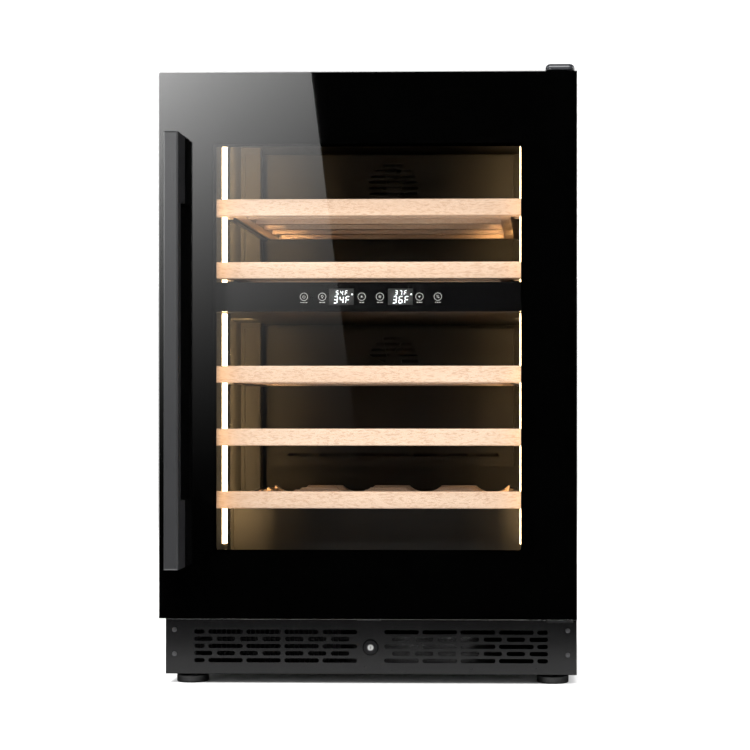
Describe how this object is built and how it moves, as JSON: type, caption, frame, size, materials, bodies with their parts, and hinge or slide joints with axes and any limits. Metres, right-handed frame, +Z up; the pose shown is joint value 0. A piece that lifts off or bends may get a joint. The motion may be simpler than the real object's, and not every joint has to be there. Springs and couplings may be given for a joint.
{
  "type": "wine cooler",
  "caption": "Under-counter two-zone wine cooler with a full-glass hinged door, bar handle, sliding beech shelves, slotted kick panel and screw feet.",
  "frame": {"origin": "on the floor under the middle of the whole cooler, its handle included", "axes": "+Z up, front and handle towards -Y, door hinged on the right at +X"},
  "size_m": [0.595, 0.627, 0.886],
  "materials": {
    "cabinet_black": "satin",
    "back_steel": "matte",
    "zinc_steel": "satin",
    "liner_black": "satin",
    "foam": "matte",
    "fascia_black": "gloss",
    "key_print": "satin",
    "display_black": "gloss",
    "circuit_green": "satin",
    "light_diffuser": "satin",
    "slide_steel": "satin",
    "beech": "satin",
    "fin_aluminium": "satin",
    "motor_black": "satin",
    "compressor_black": "gloss",
    "mount_rubber": "matte",
    "tray_plastic": "satin",
    "condenser_black": "satin",
    "fan_plastic": "satin",
    "inlet_plastic": "satin",
    "kick_black": "satin",
    "screw_steel": "satin",
    "lock_chrome": "polished",
    "lock_ring": "gloss",
    "hinge_steel": "satin",
    "cap_plastic": "satin",
    "foot_plastic": "satin",
    "door_glass": "gloss",
    "pane_glass": "gloss",
    "spacer_black": "satin",
    "frame_black": "satin",
    "seal_black": "matte",
    "handle_grey": "satin"
  },
  "bodies": {
    "cabinet": {"outer_wrap": "cabinet_black", "back_panel": "back_steel", "base_pan": "kick_black", "machine_deck": "zinc_steel", "inner_liner": "liner_black", "foam_insulation": "foam", "zone_divider": "liner_black", "control_fascia": "fascia_black", "touch_keys": "key_print", "display_modules": "display_black", "control_board": "circuit_green", "led_diffusers": "light_diffuser", "slide_uprights": "liner_black", "slide_channels": "slide_steel", "evaporator_covers": "liner_black", "evaporators": "fin_aluminium", "evaporator_fan_motors": "motor_black", "compressor": "compressor_black", "compressor_mounts": "mount_rubber", "drip_tray": "tray_plastic", "condenser_coil": "condenser_black", "condenser_fan_shroud": "motor_black", "power_inlet": "inlet_plastic", "kick_grille": "kick_black", "kick_screws": "screw_steel", "lock_housing": "lock_ring", "top_hinge_bracket": "hinge_steel", "top_hinge_cover": "cap_plastic", "bottom_hinge_bracket": "hinge_steel"},
    "door": {"door_frame": "frame_black", "outer_glass": "door_glass", "inner_glass": "pane_glass", "glass_spacer": "spacer_black", "door_gasket": "seal_black", "handle_bar": "handle_grey", "handle_posts": "handle_grey"},
    "shelf_1": {"shelf_front_1": "beech", "shelf_rack_1": "beech", "shelf_slides_1": "slide_steel"},
    "shelf_2": {"shelf_front_2": "beech", "shelf_rack_2": "beech", "shelf_slides_2": "slide_steel"},
    "shelf_3": {"shelf_front_3": "beech", "shelf_rack_3": "beech", "shelf_slides_3": "slide_steel"},
    "shelf_4": {"shelf_front_4": "beech", "shelf_rack_4": "beech", "shelf_slides_4": "slide_steel"},
    "shelf_5": {"shelf_front_5": "beech", "shelf_rack_5": "beech", "shelf_slides_5": "slide_steel"},
    "lock_core_body": {"lock_core": "lock_chrome"},
    "lock_bolt_body": {"lock_bolt": "zinc_steel"},
    "upper_fan": {"fan_rotor_upper": "fan_plastic"},
    "lower_fan": {"fan_rotor_lower": "fan_plastic"},
    "condenser_fan": {"condenser_fan_rotor": "fan_plastic"},
    "front_left_foot": {"foot_front_left": "foot_plastic"},
    "rear_left_foot": {"foot_rear_left": "foot_plastic"},
    "front_right_foot": {"foot_front_right": "foot_plastic"},
    "rear_right_foot": {"foot_rear_right": "foot_plastic"}
  },
  "joints": [
    {"name": "door_swing", "type": "hinge", "parent": "cabinet", "child": "door", "pos_m": [0.285, -0.2465, 0.1], "axis": [0, 0, 1], "range_deg": [0, 115]},
    {"name": "shelf_1_slide", "type": "slide", "parent": "cabinet", "child": "shelf_1", "axis": [0, -1, 0], "range_m": [0, 0.241]},
    {"name": "shelf_2_slide", "type": "slide", "parent": "cabinet", "child": "shelf_2", "axis": [0, -1, 0], "range_m": [0, 0.241]},
    {"name": "shelf_3_slide", "type": "slide", "parent": "cabinet", "child": "shelf_3", "axis": [0, -1, 0], "range_m": [0, 0.241]},
    {"name": "shelf_4_slide", "type": "slide", "parent": "cabinet", "child": "shelf_4", "axis": [0, -1, 0], "range_m": [0, 0.241]},
    {"name": "shelf_5_slide", "type": "slide", "parent": "cabinet", "child": "shelf_5", "axis": [0, -1, 0], "range_m": [0, 0.241]},
    {"name": "lock_turn", "type": "hinge", "parent": "cabinet", "child": "lock_core_body", "pos_m": [0, -0.2035, 0.053], "axis": [0, 1, 0], "range_deg": [0, 90]},
    {"name": "lock_bolt_rise", "type": "slide", "parent": "cabinet", "child": "lock_bolt_body", "axis": [0, 0, 1], "range_m": [0, 0.008]},
    {"name": "upper_fan_spin", "type": "hinge", "parent": "cabinet", "child": "upper_fan", "pos_m": [0, 0.2235, 0.764], "axis": [0, 1, 0], "continuous": true},
    {"name": "lower_fan_spin", "type": "hinge", "parent": "cabinet", "child": "lower_fan", "pos_m": [0, 0.2235, 0.4766], "axis": [0, 1, 0], "continuous": true},
    {"name": "condenser_fan_spin", "type": "hinge", "parent": "cabinet", "child": "condenser_fan", "pos_m": [-0.14875, 0.0585, 0.0695], "axis": [0, 1, 0], "continuous": true},
    {"name": "front_left_foot_screw", "type": "slide", "parent": "cabinet", "child": "front_left_foot", "axis": [0, 0, -1], "range_m": [0, 0.02]},
    {"name": "rear_left_foot_screw", "type": "slide", "parent": "cabinet", "child": "rear_left_foot", "axis": [0, 0, -1], "range_m": [0, 0.02]},
    {"name": "front_right_foot_screw", "type": "slide", "parent": "cabinet", "child": "front_right_foot", "axis": [0, 0, -1], "range_m": [0, 0.02]},
    {"name": "rear_right_foot_screw", "type": "slide", "parent": "cabinet", "child": "rear_right_foot", "axis": [0, 0, -1], "range_m": [0, 0.02]}
  ],
  "couplings": [
    {"joint": "shelf_1_slide", "follows": "door_swing", "m_per_rad": 0.12},
    {"joint": "shelf_2_slide", "follows": "door_swing", "m_per_rad": 0.12},
    {"joint": "shelf_3_slide", "follows": "door_swing", "m_per_rad": 0.12},
    {"joint": "shelf_4_slide", "follows": "door_swing", "m_per_rad": 0.12},
    {"joint": "shelf_5_slide", "follows": "door_swing", "m_per_rad": 0.12},
    {"joint": "lock_turn", "follows": "lock_bolt_rise", "rad_per_m": 196.3}
  ]
}
